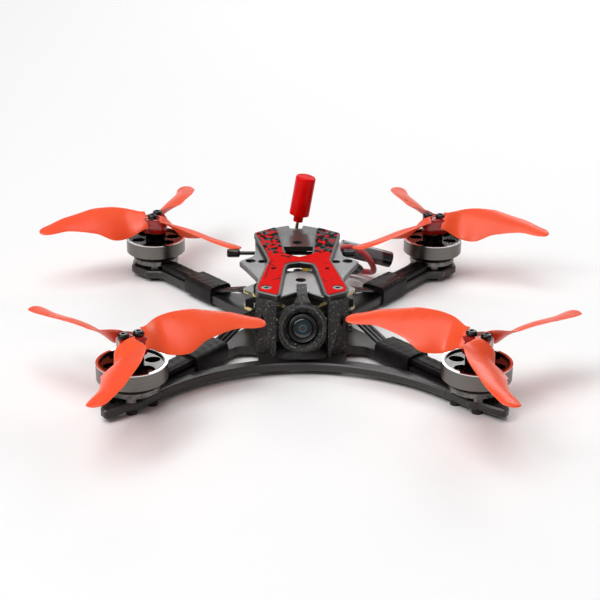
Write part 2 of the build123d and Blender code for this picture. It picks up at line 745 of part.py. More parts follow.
# Blade stations: distance from the hub, place forward of the radius, chord, pitch in degrees,
# height above the bell's rim.
BLADE = [
    (5.0, -0.9, 8.0, 37.5, 7.5),
    (11.0, 2.1, 13.9, 38.0, 6.1),
    (17.0, 1.7, 16.4, 33.0, 6.5),
    (24.0, 2.8, 13.0, 26.0, 7.6),
    (33.0, 2.9, 8.8, 19.5, 7.5),
    (41.0, 1.0, 6.8, 11.0, 6.5),
    (44.3, 0.4, 4.4, 7.0, 6.25),
]
BLADE_T = 0.055  # thickness as a share of the chord
BLADE_T_MIN = 0.55
HUB_R = 5.6
SCREW_LINE = 5.5  # the screw pair is turned this far ahead of the first blade

# one blade along +X for the propellers that turn clockwise seen from above
with BuildPart() as clockwise_blade:
    for out, ahead, chord, pitch, high in BLADE:
        p = radians(pitch)
        middle = Vector(out, -ahead, RIM_Z + high)
        with BuildSketch(Plane(origin=middle, x_dir=(0, -cos(p), sin(p)), z_dir=(1, 0, 0))):
            Ellipse(chord / 2, max(BLADE_T_MIN, BLADE_T * chord) / 2)
    loft()

for name, sx, sy, blade_angle, sense in MOTORS:
    centre = (sx * WHEEL_X, sy * WHEEL_Y)
    axis = Plane(origin=(centre[0], centre[1], 0))
    screw_angle = blade_angle + sense * SCREW_LINE
    screw_pair = [
        (side * T_MOUNT / 2 * cos(radians(screw_angle)), side * T_MOUNT / 2 * sin(radians(screw_angle)))
        for side in (-1, 1)
    ]

    with BuildPart() as motor_base:
        with BuildSketch(axis.offset(PLATE_TOP)):
            Circle(4.2)
            with PolarLocations(5.4, 4):
                RectangleRounded(5.6, 3.3, 0.9)
        extrude(amount=BASE_Z - PLATE_TOP)
        with BuildSketch(axis.offset(BASE_Z)):
            Circle(8.6)
        extrude(amount=BASE_T)
        chamfer(motor_base.edges().filter_by(GeomType.CIRCLE).sort_by(SortBy.RADIUS)[-1], 0.4)
        with BuildSketch(axis.offset(BASE_Z + BASE_T)):
            Circle(TUBE_R)
        extrude(amount=12.0 - BASE_Z - BASE_T)
        with BuildSketch(axis.offset(PLATE_TOP)):
            Circle(BEARING_R)
        extrude(amount=8, mode=Mode.SUBTRACT)
        with BuildSketch(axis.offset(PLATE_TOP)):
            with PolarLocations(FOOT_PCD_R, 4):
                Circle(SCREW_R)
        extrude(amount=BASE_Z - PLATE_TOP + 1.0, mode=Mode.SUBTRACT)
    save(f"motor_base_{name}", motor_base.part)

    with BuildPart() as stator:
        with BuildSketch(axis.offset(STATOR_Z)):
            Circle(4.4)
            with PolarLocations(6.1, TEETH):
                Rectangle(4.4, 1.1)
            with BuildSketch(mode=Mode.PRIVATE) as tips:
                Circle(STATOR_R)
                Circle(STATOR_R - 0.8, mode=Mode.SUBTRACT)
                with PolarLocations(STATOR_R, TEETH, start_angle=180 / TEETH):
                    Rectangle(3.0, 0.7, mode=Mode.SUBTRACT)
            add(tips.sketch)
            Circle(TUBE_R, mode=Mode.SUBTRACT)
        extrude(amount=STATOR_H)
    save(f"stator_{name}", stator.part)

    with BuildPart() as windings:
        with BuildSketch(axis.offset(STATOR_Z - 0.35)):
            with PolarLocations(6.3, TEETH):
                Trapezoid(3.2, 2.7, 76, rotation=90)
        extrude(amount=STATOR_H + 0.7)
        with BuildSketch(axis.offset(STATOR_Z)):
            with PolarLocations(6.1, TEETH):
                Rectangle(6, 1.1)
        extrude(amount=STATOR_H, mode=Mode.SUBTRACT)
    save(f"windings_{name}", windings.part)

    with BuildPart() as bell:
        with BuildSketch(axis.offset(BELL_DISC_Z)):
            Circle(BELL_R - RING_T)
            with PolarLocations(6.7, 6, start_angle=blade_angle):
                Ellipse(2.5, 2.1, mode=Mode.SUBTRACT)
        extrude(amount=BELL_DISC_T)
        with BuildSketch(axis.offset(BELL_DISC_Z + BELL_DISC_T)):
            Circle(BELL_R - RING_T)
            Circle(BELL_R - RING_T - 0.5, mode=Mode.SUBTRACT)
        extrude(amount=RIM_Z - BELL_DISC_Z - BELL_DISC_T)
        with BuildSketch(axis.offset(BELL_DISC_Z)):
            Circle(3.9)
        extrude(amount=HUB_Z - BELL_DISC_Z)
        with BuildSketch(axis.offset(BELL_DISC_Z)):
            Circle(SHAFT_R)
        extrude(amount=HUB_Z - BELL_DISC_Z, mode=Mode.SUBTRACT)
        with BuildSketch(axis.offset(HUB_Z)):
            with Locations(*screw_pair):
                Circle(SCREW_R)
        extrude(amount=-3.0, mode=Mode.SUBTRACT)
    save(f"bell_{name}", bell.part)

    with BuildPart() as flux_ring:
        with BuildSketch(axis.offset(RING_Z)):
            Circle(BELL_R)
            Circle(BELL_R - RING_T, mode=Mode.SUBTRACT)
        extrude(amount=RIM_Z - RING_Z)
        chamfer(flux_ring.edges().group_by(Axis.Z)[0].sort_by(SortBy.RADIUS)[-1], 0.35)
        with BuildSketch(axis.offset(RING_Z + 0.2)):
            with BuildSketch(mode=Mode.PRIVATE) as magnets:
                Circle(BELL_R - RING_T - 0.02)
                Circle(STATOR_R + 0.3, mode=Mode.SUBTRACT)
                with PolarLocations(STATOR_R, MAGNETS):
                    Rectangle(6.0, 0.6, mode=Mode.SUBTRACT)
            add(magnets.sketch)
        extrude(amount=BELL_DISC_Z - RING_Z - 0.2)
    save(f"flux_ring_{name}", flux_ring.part)

    with BuildPart() as shaft:
        with BuildSketch(axis.offset(4.7)):
            Circle(SHAFT_R)
        extrude(amount=14.1)
    save(f"shaft_{name}", shaft.part)

    with BuildPart() as propeller:
        with BuildSketch(axis.offset(HUB_Z)):
            Circle(HUB_R)
        extrude(amount=HUB_H)
        for k in range(3):
            with Locations(Location((*centre, 0), (0, 0, blade_angle + 120 * k))):
                if sense < 0:
                    add(clockwise_blade.part)
                else:
                    add(mirror(clockwise_blade.part, about=Plane.XZ, mode=Mode.PRIVATE))
        with BuildSketch(axis.offset(HUB_Z - 2)):
            with Locations(*screw_pair):
                Circle(SCREW_R)
        extrude(amount=HUB_H + 4, mode=Mode.SUBTRACT)
        with BuildSketch(axis.offset(HUB_Z - 2)):
            Circle(SHAFT_R)
        extrude(amount=3.3 + SHAFT_R, mode=Mode.SUBTRACT)
        with BuildSketch(axis.offset(HUB_Z + HUB_H)):
            with Locations(*screw_pair):
                Circle(HEAD_R + 0.1)
        extrude(amount=4, mode=Mode.SUBTRACT)
    save(f"propeller_{name}", propeller.part)

    with BuildPart() as prop_screws:
        with BuildSketch(axis.offset(HUB_Z - 3.0)):
            with Locations(*screw_pair):
                Circle(SCREW_R)
        extrude(amount=HUB_H + 3.0)
        with BuildSketch(axis.offset(HUB_Z + HUB_H)):
            with Locations(*screw_pair):
                Circle(HEAD_R)
        extrude(amount=HEAD_H)
        fillet(prop_screws.edges().group_by(Axis.Z)[-1], 0.7)
        with BuildSketch(axis.offset(HUB_Z + HUB_H + HEAD_H)):
            with Locations(*screw_pair):
                RegularPolygon(0.75, 6)
        extrude(amount=-0.9, mode=Mode.SUBTRACT)
    save(f"prop_screws_{name}", prop_screws.part)
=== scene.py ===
import math

import bmesh
import bpy
import numpy as np
from mathutils import Matrix, Vector


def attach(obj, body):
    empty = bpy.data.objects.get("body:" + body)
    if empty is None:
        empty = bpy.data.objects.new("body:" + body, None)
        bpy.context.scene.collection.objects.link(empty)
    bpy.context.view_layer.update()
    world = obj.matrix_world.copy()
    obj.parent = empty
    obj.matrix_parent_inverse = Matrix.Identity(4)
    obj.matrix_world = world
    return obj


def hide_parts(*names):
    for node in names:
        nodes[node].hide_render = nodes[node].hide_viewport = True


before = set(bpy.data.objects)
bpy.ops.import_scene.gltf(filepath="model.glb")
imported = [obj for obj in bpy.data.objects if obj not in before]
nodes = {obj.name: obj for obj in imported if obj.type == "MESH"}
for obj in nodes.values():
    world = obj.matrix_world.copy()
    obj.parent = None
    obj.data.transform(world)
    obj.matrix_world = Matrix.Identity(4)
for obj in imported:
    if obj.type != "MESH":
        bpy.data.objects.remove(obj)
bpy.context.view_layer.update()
MM = 0.001

# ------------------------------------------------------------------ sizes shared with the CAD
WHEEL_X, WHEEL_Y = 53.8, 56.6
PLATE_TOP = 4.5
RIM_Z = 15.0
HUB_Z, HUB_H = 17.5, 5.8
MOTORS = (
    ("front_right", -1, -1, 20.5, 1),
    ("front_left", 1, -1, 154.6, -1),
    ("rear_right", -1, 1, 77.7, -1),
    ("rear_left", 1, 1, -17.85, 1),
)


# ------------------------------------------------------------------ camera
CAMERA_PLACE = (-16.8, -439.42, 194.34)
CAMERA_TURN = (22.517, 2.222, 0.916)  # pitch down, yaw and roll, in degrees
CAMERA_LENS = 81.47


def make_camera():
    pitch, yaw, roll = (math.radians(a) for a in CAMERA_TURN)
    level = math.cos(pitch)
    ahead = Vector((math.sin(yaw) * level, math.cos(yaw) * level, -math.sin(pitch)))
    flat = ahead.cross(Vector((0, 0, 1))).normalized()
    rise = flat.cross(ahead)
    right = math.cos(roll) * flat + math.sin(roll) * rise
    up = -math.sin(roll) * flat + math.cos(roll) * rise
    data = bpy.data.cameras.new("camera")
    data.lens = CAMERA_LENS
    data.sensor_width = 36.0
    data.clip_end = 20
    obj = bpy.data.objects.new("camera", data)
    bpy.context.scene.collection.objects.link(obj)
    turn = Matrix((right, up, -ahead)).transposed().to_4x4()
    obj.matrix_world = Matrix.Translation(Vector(CAMERA_PLACE) * MM) @ turn
    bpy.context.scene.camera = obj


make_camera()


# ------------------------------------------------------------------ materials
class Mat:
    """A small helper for node materials. Coordinates are metres in the row frame."""

    def __init__(self, name, color, rough=0.5, metal=0.0, **sockets):
        self.m = bpy.data.materials.new(name)
        self.m.use_nodes = True
        self.t = self.m.node_tree
        self.b = self.t.nodes["Principled BSDF"]
        self.b.inputs["Base Color"].default_value = (*color, 1)
        self.b.inputs["Roughness"].default_value = rough
        self.b.inputs["Metallic"].default_value = metal
        for key, value in sockets.items():
            self.b.inputs[key.replace("_", " ")].default_value = value
        self.co = self.t.nodes.new("ShaderNodeTexCoord").outputs["Object"]
        self.height = None

    def node(self, kind, links=(), **props):
        n = self.t.nodes.new("ShaderNode" + kind)
        for k, v in props.items():
            setattr(n, k, v)
        for k, v in dict(links).items():
            if isinstance(v, bpy.types.NodeSocket):
                self.t.links.new(v, n.inputs[k])
            else:
                n.inputs[k].default_value = v
        return n

    def stretch(self, scale, turn=(0, 0, 0)):
        links = {"Vector": self.co, "Scale": scale, "Rotation": turn}
        return self.node("Mapping", links).outputs[0]

    def noise(self, scale, detail=3.0, vector=None, rough=0.5):
        links = {"Vector": vector or self.co, "Scale": scale, "Detail": detail, "Roughness": rough}
        return self.node("TexNoise", links).outputs["Fac"]

    def ramp(self, fac, stops, interpolation="LINEAR"):
        n = self.node("ValToRGB", {"Fac": fac})
        n.color_ramp.interpolation = interpolation
        e = n.color_ramp.elements
        while len(e) < len(stops):
            e.new(0.5)
        for item, (pos, value) in zip(e, stops):
            item.position = pos
            item.color = (*value, 1) if hasattr(value, "__len__") else (value, value, value, 1)
        return n.outputs["Color"]

    def math(self, op, a, b=0.0):
        return self.node("Math", {0: a, 1: b}, operation=op).outputs[0]

    def mix(self, fac, a, b):
        n = self.node("Mix", data_type="RGBA")
        for i, v in ((0, fac), (6, a), (7, b)):
            if isinstance(v, bpy.types.NodeSocket):
                self.t.links.new(v, n.inputs[i])
            elif i:
                n.inputs[i].default_value = (*v, 1)
            else:
                n.inputs[i].default_value = v
        return n.outputs[2]

    def xyz(self):
        return self.node("SeparateXYZ", {"Vector": self.co}).outputs

    def upward(self):
        """1 where the surface faces straight up or down, 0 on an upright one."""
        normal = self.node("NewGeometry").outputs["Normal"]
        return self.math("ABSOLUTE", self.node("SeparateXYZ", {"Vector": normal}).outputs["Z"])

    def color(self, socket):
        self.t.links.new(socket, self.b.inputs["Base Color"])
        return self

    def rough(self, socket):
        self.t.links.new(socket, self.b.inputs["Roughness"])
        return self

    def bump(self, height, strength=0.3, distance=0.0001):
        links = {"Height": height, "Strength": strength, "Distance": distance}
        if self.height:
            links["Normal"] = self.height
        self.height = self.node("Bump", links).outputs["Normal"]
        self.t.links.new(self.height, self.b.inputs["Normal"])
        return self


def varied(name, dark, light, rough, metal=0.0, scale=400, bump=0.15, spread=0.12, **sockets):
    """A plain finish with a little unevenness in its colour, gloss and surface."""
    m = Mat(name, light, rough, metal, **sockets)
    n = m.noise(scale, 4)
    m.color(m.ramp(n, [(0.3, dark), (0.7, light)]))
    gloss = [(0.3, max(0.02, rough - spread)), (0.7, rough + spread)]
    m.rough(m.ramp(m.noise(scale * 0.35, 3), gloss))
    m.bump(m.noise(scale * 6, 2), bump, 0.00003)
    return m


TWILL = 330
TWILL_TURN = 0.785


def carbon(name, cut=0.0, coat=0.25, coat_rough=0.25):
    """Satin laminate: a fine twill, streaked cut edges and paler chamfers."""
    m = Mat(name, (0.05, 0.05, 0.055), 0.42, Coat_Weight=coat, Coat_Roughness=coat_rough)
    tows = []
    for turn in (TWILL_TURN, -TWILL_TURN):
        links = {"Vector": m.stretch((1, 1, 0), (0, 0, turn)), "Scale": TWILL, "Distortion": 0.0}
        tows.append(m.node("TexWave", links).outputs["Fac"])
    weave = m.math("MULTIPLY", *tows)
    cloud = m.noise(90, 5)
    low = (0.008 + cut, 0.008 + cut, 0.008 + cut)
    high = (0.018 + cut, 0.017 + cut, 0.017 + cut)
    face = m.mix(weave, low, high)
    # the edges show the stacked plies
    up = m.upward()
    ply = m.noise(1, 3, m.stretch((60, 60, 6000)))
    edge = m.ramp(ply, [(0.35, (0.007, 0.007, 0.006)), (0.7, (0.026, 0.023, 0.021))])
    chamfer = m.ramp(up, [(0.45, 0.0), (0.62, 1.0), (0.80, 1.0), (0.95, 0.0)])
    side = m.ramp(up, [(0.2, 1.0), (0.6, 0.0)])
    tone = m.mix(side, face, edge)
    m.color(m.mix(chamfer, tone, (0.045 + 4 * cut, 0.042 + 4 * cut, 0.040 + 4 * cut)))
    m.rough(m.ramp(cloud, [(0.3, 0.34), (0.7, 0.52)]))
    m.bump(weave, 0.12, 0.00004).bump(m.noise(2500, 2), 0.12, 0.00002)
    return m


def sticker():
    """Red printed film with thin black scratches, and black, grey and red shards at the rear."""
    m = Mat("sticker_film", (0.6, 0.01, 0.01), 0.55, Specular_IOR_Level=0.03)
    links = {"Vector": m.stretch((1.0, 0.75, 0)), "Scale": 720, "Randomness": 1.0}
    shards = m.node("TexVoronoi", links)
    tint = m.node("SeparateColor", {"Color": shards.outputs["Color"]}).outputs["Red"]
    black, grey, bright = (0.004, 0.004, 0.005), (0.07, 0.07, 0.072), (0.66, 0.004, 0.004)
    camo = m.ramp(tint, [(0.0, black), (0.46, grey), (0.66, bright)], "CONSTANT")
    red = m.mix(m.noise(120, 4), (0.62, 0.002, 0.001), (0.74, 0.005, 0.003))
    links = {"Vector": m.stretch((1, 0.5, 0), (0, 0, 0.9)), "Scale": 190}
    lines = m.node("TexVoronoi", links, feature="DISTANCE_TO_EDGE")
    thin = m.ramp(lines.outputs["Distance"], [(0.0, 1.0), (0.02, 1.0), (0.035, 0.0)])
    patchy = m.ramp(m.noise(150, 2), [(0.53, 0.0), (0.58, 1.0)])
    red = m.mix(m.math("MULTIPLY", thin, patchy), red, (0.02, 0.015, 0.015))
    jag = m.math("MULTIPLY", m.math("SUBTRACT", m.noise(330, 1), 0.5), 0.012)
    torn = m.math("ADD", m.xyz()["Y"], jag)
    rear = m.ramp(m.math("MULTIPLY", torn, 20.0), [(0.20, 0.0), (0.205, 1.0)])
    m.color(m.mix(rear, red, camo))
    m.bump(m.noise(1500, 2), 0.08, 0.00002)
    return m


def printed(name):
    """Rough black printed elastomer: level lines, grain, browner crests, and pale dots that are painted
    glints.
    """
    m = Mat(name, (0.02, 0.02, 0.02), 0.5, Specular_IOR_Level=0.6)
    links = {"Vector": m.co, "Scale": 900, "Distortion": 1.2, "Detail": 2.0}
    layer = m.node("TexWave", links, bands_direction="Z").outputs["Fac"]
    grain = m.noise(1900, 4, rough=0.7)
    body = m.mix(grain, (0.003, 0.003, 0.003), (0.022, 0.021, 0.020))
    worn = m.ramp(m.noise(260, 4), [(0.58, 0.0), (0.75, 0.5)])
    body = m.mix(worn, body, (0.05, 0.032, 0.022))
    # pale dots painted into the colour as glints of light on the grainy surface
    painted_glints = m.ramp(m.noise(1500, 3, rough=0.6), [(0.58, 0.0), (0.66, 0.9)])
    m.color(m.mix(painted_glints, body, (0.24, 0.235, 0.22)))
    m.rough(m.ramp(grain, [(0.35, 0.3), (0.65, 0.62)]))
    m.bump(layer, 0.35, 0.0001).bump(grain, 0.75, 0.00022)
    return m


def propeller_plastic():
    m = Mat(
        "propeller_plastic", (0.82, 0.07, 0.035), 0.3, IOR=1.5, Specular_IOR_Level=0.3,
        Subsurface_Weight=0.3, Subsurface_Scale=0.0025, Coat_Weight=0.1, Coat_Roughness=0.25,
    )
    m.b.inputs["Subsurface Radius"].default_value = (1.0, 0.28, 0.18)
    m.color(m.mix(m.noise(55, 3), (0.97, 0.065, 0.018), (1.0, 0.12, 0.036)))
    m.rough(m.ramp(m.noise(140, 4), [(0.3, 0.26), (0.7, 0.4)]))
    m.bump(m.noise(700, 2), 0.05, 0.00003)
    return m


def hub_plastic():
    m = Mat(
        "hub_plastic", (0.62, 0.015, 0.01), 0.2, IOR=1.5, Transmission_Weight=0.25,
        Coat_Weight=0.5, Coat_Roughness=0.1,
    )
    m.color(m.mix(m.noise(700, 3), (0.30, 0.004, 0.002), (0.55, 0.012, 0.006)))
    m.bump(m.noise(500, 2), 0.10, 0.00005)
    return m


BAND_DARK, BAND_LIGHT = (0.10, 0.092, 0.085), (0.25, 0.235, 0.22)
BAND_ROUGH, RIM_ROUGH = 0.34, 0.12
RIM_FROM = 14.7  # mm; the band is bright above this


def turned_band(tag, sx, sy):
    """Warm grey metal with fine lines running round the motor's axis and a bright rim."""
    m = Mat(f"band_{tag}", BAND_LIGHT, BAND_ROUGH, 1.0)
    links = {"Vector": m.co, "Location": (-sx * WHEEL_X * MM, -sy * WHEEL_Y * MM, 0)}
    place = m.node("Mapping", links).outputs[0]
    lined = m.node("Mapping", {"Vector": place, "Scale": (60, 60, 7000)}).outputs[0]
    streak = m.noise(1, 4, lined, 0.65)
    edge = RIM_FROM * 0.05
    height = m.math("MULTIPLY", m.xyz()["Z"], 50.0)
    rim = m.ramp(height, [(edge - 0.001, 0.0), (edge + 0.001, 1.0)])
    m.color(m.mix(rim, m.mix(streak, BAND_DARK, BAND_LIGHT), (0.78, 0.77, 0.76)))
    m.rough(m.mix(rim, (BAND_ROUGH,) * 3, (RIM_ROUGH,) * 3))
    m.bump(streak, 0.18, 0.00003)
    return m


def lens_coat():
    """The domed front glass: blue-black, with a teal ring and an amber middle round its axis."""
    m = Mat("lens_coating", (0.01, 0.01, 0.015), 0.05, Coat_Weight=1.0, Coat_Roughness=0.02)
    attr = m.node("Attribute", attribute_name="reach").outputs["Fac"]
    stops = [
        (0.0, (0.10, 0.055, 0.02)), (0.12, (0.05, 0.02, 0.01)), (0.20, (0.003, 0.004, 0.006)),
        (0.30, (0.075, 0.14, 0.19)), (0.36, (0.012, 0.03, 0.045)), (0.62, (0.004, 0.010, 0.013)),
        (1.0, (0.004, 0.005, 0.008)),
    ]
    mottle = m.ramp(m.noise(900, 2), [(0.4, 0.0), (0.7, 0.12)])
    m.color(m.mix(mottle, m.ramp(attr, stops), (0.02, 0.05, 0.06)))
    return m


CARBON = carbon("carbon_dark")
CARBON_DECK = carbon("carbon_deck", 0.035, 0.75, 0.16)
CARBON_BRACE = carbon("carbon_brace", 0.03)
PRINTED = printed("printed_black")
PROP = propeller_plastic()
PROP_HUB = hub_plastic()
BLACK_SCREW = varied(
    "black_screw", (0.003, 0.003, 0.003), (0.012, 0.012, 0.013), 0.18, 0.2, 900, bump=0.1, spread=0.06,
)
STEEL = varied("ground_steel", (0.35, 0.35, 0.37), (0.6, 0.6, 0.62), 0.3, 1.0, 800)
BASE = varied("motor_base_metal", (0.10, 0.098, 0.095), (0.24, 0.23, 0.225), 0.36, 1.0, 700)
STATOR = varied("stator_iron", (0.02, 0.02, 0.022), (0.06, 0.058, 0.055), 0.45, 0.7, 1400)
POST = varied("post_metal", (0.10, 0.10, 0.105), (0.22, 0.22, 0.23), 0.35, 1.0, 600)
LENS_BLACK = varied(
    "lens_barrel", (0.004, 0.004, 0.005), (0.014, 0.014, 0.016), 0.28, 0.0, 1500, bump=0.1, spread=0.08,
)
CASE = varied("camera_case", (0.01, 0.01, 0.011), (0.03, 0.03, 0.031), 0.5, 0.0, 1600)
RED_CAP = varied(
    "cap_red", (0.72, 0.001, 0.001), (0.86, 0.003, 0.003), 0.20, 0.0, 160, bump=0.06, spread=0.05,
    Specular_IOR_Level=0.12,
)
BRASS = varied("brass_stem", (0.48, 0.30, 0.12), (0.75, 0.55, 0.27), 0.28, 1.0, 700)
WIRE_BLACK = varied(
    "wire_black", (0.006, 0.006, 0.007), (0.02, 0.02, 0.022), 0.26, 0.0, 300, bump=0.06, spread=0.08,
    Coat_Weight=0.3,
)
WIRE_RED = varied(
    "wire_red", (0.58, 0.03, 0.035), (0.72, 0.08, 0.085), 0.35, 0.0, 250, bump=0.08, spread=0.1,
    Sheen_Weight=0.2,
)
SLEEVE = varied(
    "sleeve_black", (0.003, 0.003, 0.003), (0.013, 0.012, 0.012), 0.42, 0.0, 220, bump=0.2,
    Specular_IOR_Level=0.22,
)
PLUG = varied("plug_yellow", (0.66, 0.42, 0.02), (0.80, 0.56, 0.05), 0.42, 0.0, 300)
CHIP = varied("chip_black", (0.006, 0.006, 0.006), (0.02, 0.02, 0.021), 0.4, 0.0, 900)
COPPER = varied(
    "copper_wire", (0.42, 0.13, 0.035), (0.75, 0.30, 0.10), 0.3, 1.0, 900, bump=0.1, spread=0.08,
)
BELL_BLACK = varied(
    "bell_black_chrome", (0.035, 0.033, 0.032), (0.085, 0.080, 0.077), 0.12, 1.0, 260,
    bump=0.04, spread=0.05,
)


def board_material():
    """Dark solder mask, with gold along the cut edge."""
    m = Mat("board", (0.02, 0.025, 0.02), 0.35, Coat_Weight=0.4)
    up = m.upward()
    pads = m.ramp(m.noise(420, 1), [(0.47, 0.0), (0.49, 1.0)])
    edge = m.mix(pads, (0.10, 0.08, 0.025), (0.78, 0.62, 0.22))
    mask = m.mix(m.noise(900, 3), (0.003, 0.005, 0.004), (0.010, 0.013, 0.011))
    traces = m.ramp(m.noise(600, 0), [(0.495, 0.0), (0.5, 0.35), (0.505, 0.0)])
    mask = m.mix(traces, mask, (0.25, 0.20, 0.08))
    m.color(m.mix(m.ramp(up, [(0.4, 1.0), (0.6, 0.0)]), mask, edge))
    m.rough(m.ramp(up, [(0.4, 0.3), (0.6, 0.42)]))
    m.bump(m.noise(1500, 2), 0.1, 0.00003)
    return m


def capacitor_sleeve():
    """Grey glossy film over the can, drawn in dark round its rounded outer end."""
    m = Mat("capacitor_sleeve", (0.12, 0.12, 0.13), 0.25, 0.1, Coat_Weight=0.6)
    film = m.mix(m.noise(180, 4), (0.055, 0.058, 0.062), (0.19, 0.195, 0.205))
    outer = m.ramp(m.math("MULTIPLY", m.xyz()["X"], 10.0), [(0.328, 0.0), (0.338, 1.0)])
    m.color(m.mix(outer, film, (0.008, 0.008, 0.009)))
    m.rough(m.ramp(m.noise(90, 3), [(0.3, 0.16), (0.7, 0.34)]))
    m.bump(m.noise(1100, 2), 0.12, 0.00003)
    return m


BOARD = board_material()
CAPACITOR = capacitor_sleeve()
STICKER = sticker()
LENS_COAT = lens_coat()


# ------------------------------------------------------------------ mesh helpers
def link(name, mesh, mats, body, smooth=True):
    obj = bpy.data.objects.new(name, mesh)
    bpy.context.scene.collection.objects.link(obj)
    for m in mats if isinstance(mats, (list, tuple)) else [mats]:
        mesh.materials.append(m.m)
    if smooth:
        mesh.polygons.foreach_set("use_smooth", [True] * len(mesh.polygons))
    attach(obj, body)
    return obj


def grid_mesh(name, rings, capped=True, loop=False):
    """A skin over rings of points, each ring closed; loop joins the last ring to the first."""
    rings = np.asarray(rings, float)
    n, k = rings.shape[:2]
    faces = []
    for i in range(n if loop else n - 1):
        j = (i + 1) % n
        for a in range(k):
            b = (a + 1) % k
            faces.append((i * k + a, i * k + b, j * k + b, j * k + a))
    if capped and not loop:
        faces.append(tuple(reversed(range(k))))
        faces.append(tuple(range((n - 1) * k, n * k)))
    mesh = bpy.data.meshes.new(name)
    mesh.from_pydata((rings.reshape(-1, 3) * MM).tolist(), [], faces)
    bm = bmesh.new()
    bm.from_mesh(mesh)
    bmesh.ops.recalc_face_normals(bm, faces=bm.faces)
    bm.to_mesh(mesh)
    bm.free()
    return mesh


def lathe(profile, origin, axis, side, steps=72):
    """Rings for a profile of (radius, height) turned about an axis."""
    axis, side = Vector(axis).normalized(), Vector(side).normalized()
    other = axis.cross(side)
    rings = []
    for r, h in profile:
        ring = []
        for i in range(steps):
            a = 2 * math.pi * i / steps
            p = Vector(origin) + axis * h + side * (r * math.cos(a)) + other * (r * math.sin(a))
            ring.append(tuple(p))
        rings.append(ring)
    return rings


def auto_smooth(obj, degrees=35):
    for p in obj.data.polygons:
        p.use_smooth = True
    obj.data.set_sharp_from_angle(angle=math.radians(degrees))


def tube_curve(name, points, radius, mat, body, order=3):
    data = bpy.data.curves.new(name, "CURVE")
    data.dimensions = "3D"
    data.bevel_depth = radius * MM
    data.bevel_resolution = 6
    data.resolution_u = 16
    data.use_fill_caps = True
    line = data.splines.new("NURBS")
    line.points.add(len(points) - 1)
    for p, (x, y, z) in zip(line.points, points):
        p.co = (x * MM, y * MM, z * MM, 1)
    line.order_u = order
    line.use_endpoint_u = True
    data.materials.append(mat.m)
    obj = bpy.data.objects.new(name, data)
    bpy.context.scene.collection.objects.link(obj)
    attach(obj, body)
    return obj


# ------------------------------------------------------------------ battery leads
PLUG_END = 12.8
PLUG_Z = 2.6
LEAD_R = 1.15
RED_ROUTE = [
    (3.4, 14.6, 11.1), (4.0, 20.5, 11.4), (6.0, 26.4, 11.8), (8.6, 33.0, 12.2), (11.8, 36.8, 14.4),
    (16.2, 37.8, 17.6), (21.4, 38.8, 17.6), (26.0, 40.2, 14.4), (29.0, 42.0, 9.8), (30.4, 45.4, 5.6),
    (30.0, 50.4, 2.8), (26.6, 54.6, 1.6), (21.8, 56.9, 1.8), (17.4, 57.4, PLUG_Z),
    (PLUG_END, 57.4, PLUG_Z),
]
BLACK_ROUTE = [
    (-3.4, 14.6, 11.1), (-2.6, 20.4, 11.0), (0.6, 27.0, 10.0), (5.2, 32.4, 9.4), (9.4, 36.4, 9.8),
    (13.6, 39.4, 11.0), (18.4, 40.8, 11.0), (22.9, 42.6, 8.8), (25.6, 46.2, 5.8), (25.0, 50.6, 3.2),
    (21.2, 53.2, 2.0), (16.4, 53.2, PLUG_Z), (PLUG_END, 53.2, PLUG_Z),
]
for name, route, length, mat, slot in (
    ("power_lead_red", RED_ROUTE, 0.077, WIRE_RED, "lead_red"),
    ("power_lead_black", BLACK_ROUTE, 0.064, WIRE_BLACK, "wire_black"),
):
    lead = tube_curve(name + "_cord", route, LEAD_R, mat, "root")
    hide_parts(name)


# ------------------------------------------------------------------ propellers
BLADE_R = np.array([5.0, 11.0, 17.0, 24.0, 33.0, 41.0, 44.45])
BLADE_AHEAD = np.array([-0.93, 2.14, 1.67, 2.81, 2.94, 1.01, 0.37])
BLADE_CHORD = np.array([8.03, 13.95, 16.38, 13.02, 8.76, 6.79, 4.96])
BLADE_PITCH = np.array([37.5, 38.1, 33.1, 26.2, 19.5, 10.7, 6.4])
BLADE_HIGH = np.array([7.58, 6.1, 6.5, 7.67, 7.5, 6.49, 6.26])
BLADE_ROOT, BLADE_ROUND_FROM, BLADE_TIP = 3.6, 42.6, 44.4
HUB_SIDES = (  # height above the hub's foot and the share of its full radius
    (0.0, 0.93), (0.3, 0.97), (3.0, 1.0), (HUB_H - 0.6, 0.98), (HUB_H - 0.15, 0.95), (HUB_H, 0.88),
)


def smooth_through(x, y, at):
    """A monotone cubic through the stations, so that no value overshoots."""
    h, d = np.diff(x), np.diff(y) / np.diff(x)
    slope = np.zeros(len(x))
    slope[0], slope[-1] = d[0], d[-1]
    for i in range(1, len(x) - 1):
        if d[i - 1] * d[i] > 0:
            w1, w2 = 2 * h[i] + h[i - 1], h[i] + 2 * h[i - 1]
            slope[i] = (w1 + w2) / (w1 / d[i - 1] + w2 / d[i])
    k = np.clip(np.searchsorted(x, at) - 1, 0, len(h) - 1)
    t = (at - x[k]) / h[k]
    return (
        (1 + 2 * t) * (1 - t) ** 2 * y[k] + t * (1 - t) ** 2 * h[k] * slope[k]
        + t * t * (3 - 2 * t) * y[k + 1] + t * t * (t - 1) * h[k] * slope[k + 1]
    )


